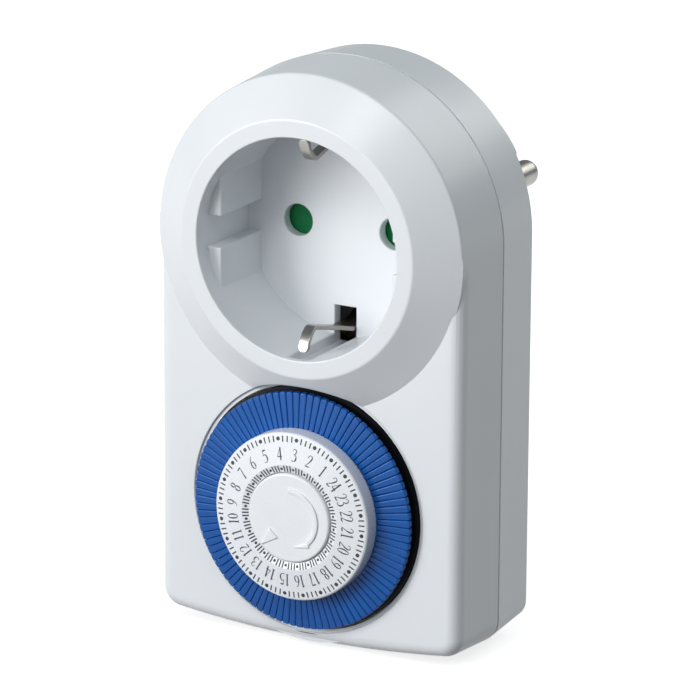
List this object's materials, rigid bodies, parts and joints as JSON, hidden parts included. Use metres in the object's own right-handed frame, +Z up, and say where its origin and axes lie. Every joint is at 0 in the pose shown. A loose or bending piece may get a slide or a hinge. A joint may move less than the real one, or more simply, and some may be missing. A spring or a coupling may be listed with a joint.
{
  "type": "plug-in timer switch",
  "caption": "Wall plug timer: earthed pin plug behind, round earthed socket above a day dial of push-in switching segments, in a two-shell housing.",
  "frame": {"origin": "centre of the plug's face, midway between its two pins", "axes": "+Y along the pins towards the wall socket, +Z up with the socket above the dial, front faces -Y"},
  "size_m": [0.061, 0.0712, 0.103],
  "materials": {
    "housing_white": "satin moulded ABS",
    "dial_white": "satin moulded ABS with dark printed scale",
    "segment_blue": "satin moulded plastic",
    "carrier_black": "matt moulded plastic",
    "shutter_green": "satin moulded plastic",
    "insert_plastic": "matt heat-proof plastic",
    "gear_plastic": "natural acetal",
    "nickel": "nickel-plated, satin",
    "brass": "rolled strip, satin",
    "steel": "zinc-plated",
    "ferrite": "sintered magnet",
    "copper": "enamelled copper wire",
    "lead_insulation": "insulated wire"
  },
  "bodies": {
    "housing": {"front_shell": "housing_white", "rear_shell": "housing_white", "centre_cap": "dial_white", "socket_carrier": "insert_plastic", "front_plate": "insert_plastic", "rear_plate": "insert_plastic", "earth_strip_top": "nickel", "earth_strip_bottom": "nickel", "earth_bridge": "nickel", "live_pin": "nickel", "neutral_pin": "nickel", "live_jaw": "brass", "neutral_jaw": "brass", "live_strip": "brass", "moving_contact": "brass", "housing_screws": "steel", "carrier_screws": "steel", "shutter_pivot": "steel", "shutter_spring": "steel", "lever_pin": "steel", "dial_post": "steel", "plate_screws": "steel", "gear_arbors": "steel", "motor_case": "steel", "motor_cover": "steel", "motor_coil": "copper", "motor_leads": "lead_insulation"},
    "dial": {"segment_carrier": "carrier_black", "number_ring": "dial_white"},
    "segments_hour_01": {"segments_hour_01": "segment_blue"},
    "segments_hour_02": {"segments_hour_02": "segment_blue"},
    "segments_hour_03": {"segments_hour_03": "segment_blue"},
    "segments_hour_04": {"segments_hour_04": "segment_blue"},
    "segments_hour_05": {"segments_hour_05": "segment_blue"},
    "segments_hour_06": {"segments_hour_06": "segment_blue"},
    "segments_hour_07": {"segments_hour_07": "segment_blue"},
    "segments_hour_08": {"segments_hour_08": "segment_blue"},
    "segments_hour_09": {"segments_hour_09": "segment_blue"},
    "segments_hour_10": {"segments_hour_10": "segment_blue"},
    "segments_hour_11": {"segments_hour_11": "segment_blue"},
    "segments_hour_12": {"segments_hour_12": "segment_blue"},
    "segments_hour_13": {"segments_hour_13": "segment_blue"},
    "segments_hour_14": {"segments_hour_14": "segment_blue"},
    "segments_hour_15": {"segments_hour_15": "segment_blue"},
    "segments_hour_16": {"segments_hour_16": "segment_blue"},
    "segments_hour_17": {"segments_hour_17": "segment_blue"},
    "segments_hour_18": {"segments_hour_18": "segment_blue"},
    "segments_hour_19": {"segments_hour_19": "segment_blue"},
    "segments_hour_20": {"segments_hour_20": "segment_blue"},
    "segments_hour_21": {"segments_hour_21": "segment_blue"},
    "segments_hour_22": {"segments_hour_22": "segment_blue"},
    "segments_hour_23": {"segments_hour_23": "segment_blue"},
    "segments_hour_24": {"segments_hour_24": "segment_blue"},
    "shutter": {"shutter": "shutter_green"},
    "switch_lever": {"switch_lever": "insert_plastic"},
    "first_wheel": {"first_wheel": "gear_plastic"},
    "second_wheel": {"second_wheel": "gear_plastic"},
    "motor_pinion": {"motor_pinion": "brass"},
    "motor_rotor": {"motor_rotor": "ferrite"}
  },
  "joints": [
    {"name": "dial_turn", "type": "hinge", "parent": "housing", "child": "dial", "pos_m": [0, -0.045, -0.0472], "axis": [0, 1, 0], "continuous": true},
    {"name": "segments_hour_01_push", "type": "slide", "parent": "dial", "child": "segments_hour_01", "axis": [0, 1, 0], "range_m": [0, 0.0016]},
    {"name": "segments_hour_02_push", "type": "slide", "parent": "dial", "child": "segments_hour_02", "axis": [0, 1, 0], "range_m": [0, 0.0016]},
    {"name": "segments_hour_03_push", "type": "slide", "parent": "dial", "child": "segments_hour_03", "axis": [0, 1, 0], "range_m": [0, 0.0016]},
    {"name": "segments_hour_04_push", "type": "slide", "parent": "dial", "child": "segments_hour_04", "axis": [0, 1, 0], "range_m": [0, 0.0016]},
    {"name": "segments_hour_05_push", "type": "slide", "parent": "dial", "child": "segments_hour_05", "axis": [0, 1, 0], "range_m": [0, 0.0016]},
    {"name": "segments_hour_06_push", "type": "slide", "parent": "dial", "child": "segments_hour_06", "axis": [0, 1, 0], "range_m": [0, 0.0016]},
    {"name": "segments_hour_07_push", "type": "slide", "parent": "dial", "child": "segments_hour_07", "axis": [0, 1, 0], "range_m": [0, 0.0016]},
    {"name": "segments_hour_08_push", "type": "slide", "parent": "dial", "child": "segments_hour_08", "axis": [0, 1, 0], "range_m": [0, 0.0016]},
    {"name": "segments_hour_09_push", "type": "slide", "parent": "dial", "child": "segments_hour_09", "axis": [0, 1, 0], "range_m": [0, 0.0016]},
    {"name": "segments_hour_10_push", "type": "slide", "parent": "dial", "child": "segments_hour_10", "axis": [0, 1, 0], "range_m": [0, 0.0016]},
    {"name": "segments_hour_11_push", "type": "slide", "parent": "dial", "child": "segments_hour_11", "axis": [0, 1, 0], "range_m": [0, 0.0016]},
    {"name": "segments_hour_12_push", "type": "slide", "parent": "dial", "child": "segments_hour_12", "axis": [0, 1, 0], "range_m": [0, 0.0016]},
    {"name": "segments_hour_13_push", "type": "slide", "parent": "dial", "child": "segments_hour_13", "axis": [0, 1, 0], "range_m": [0, 0.0016]},
    {"name": "segments_hour_14_push", "type": "slide", "parent": "dial", "child": "segments_hour_14", "axis": [0, 1, 0], "range_m": [0, 0.0016]},
    {"name": "segments_hour_15_push", "type": "slide", "parent": "dial", "child": "segments_hour_15", "axis": [0, 1, 0], "range_m": [0, 0.0016]},
    {"name": "segments_hour_16_push", "type": "slide", "parent": "dial", "child": "segments_hour_16", "axis": [0, 1, 0], "range_m": [0, 0.0016]},
    {"name": "segments_hour_17_push", "type": "slide", "parent": "dial", "child": "segments_hour_17", "axis": [0, 1, 0], "range_m": [0, 0.0016]},
    {"name": "segments_hour_18_push", "type": "slide", "parent": "dial", "child": "segments_hour_18", "axis": [0, 1, 0], "range_m": [0, 0.0016]},
    {"name": "segments_hour_19_push", "type": "slide", "parent": "dial", "child": "segments_hour_19", "axis": [0, 1, 0], "range_m": [0, 0.0016]},
    {"name": "segments_hour_20_push", "type": "slide", "parent": "dial", "child": "segments_hour_20", "axis": [0, 1, 0], "range_m": [0, 0.0016]},
    {"name": "segments_hour_21_push", "type": "slide", "parent": "dial", "child": "segments_hour_21", "axis": [0, 1, 0], "range_m": [0, 0.0016]},
    {"name": "segments_hour_22_push", "type": "slide", "parent": "dial", "child": "segments_hour_22", "axis": [0, 1, 0], "range_m": [0, 0.0016]},
    {"name": "segments_hour_23_push", "type": "slide", "parent": "dial", "child": "segments_hour_23", "axis": [0, 1, 0], "range_m": [0, 0.0016]},
    {"name": "segments_hour_24_push", "type": "slide", "parent": "dial", "child": "segments_hour_24", "axis": [0, 1, 0], "range_m": [0, 0.0016]},
    {"name": "shutter_swing", "type": "hinge", "parent": "housing", "child": "shutter", "pos_m": [0, -0.029, 0], "axis": [0, 1, 0], "range_deg": [0, 38], "stiffness_Nm_per_rad": 0.002, "springref_deg": -17.19, "deforming": ["shutter_spring"]},
    {"name": "switch_tilt", "type": "hinge", "parent": "housing", "child": "switch_lever", "pos_m": [0, -0.0398, -0.0256], "axis": [1, 0, 0], "range_deg": [0, 14.5], "deforming": ["moving_contact"]},
    {"name": "first_wheel_spin", "type": "hinge", "parent": "housing", "child": "first_wheel", "pos_m": [-0.01299, -0.037, -0.0547], "axis": [0, 1, 0], "continuous": true},
    {"name": "second_wheel_spin", "type": "hinge", "parent": "housing", "child": "second_wheel", "pos_m": [0.00178, -0.033, -0.0521], "axis": [0, 1, 0], "continuous": true},
    {"name": "motor_pinion_spin", "type": "hinge", "parent": "housing", "child": "motor_pinion", "pos_m": [0.01458, -0.031, -0.04984], "axis": [0, 1, 0], "continuous": true},
    {"name": "motor_rotor_spin", "type": "hinge", "parent": "housing", "child": "motor_rotor", "pos_m": [0.01358, -0.024, -0.04584], "axis": [0, 1, 0], "continuous": true}
  ],
  "couplings": [
    {"joint": "switch_tilt", "follows": "segments_hour_03_push", "rad_per_m": 158},
    {"joint": "first_wheel_spin", "follows": "dial_turn", "ratio": -4},
    {"joint": "second_wheel_spin", "follows": "dial_turn", "ratio": 16},
    {"joint": "motor_pinion_spin", "follows": "dial_turn", "ratio": -53.333}
  ]
}
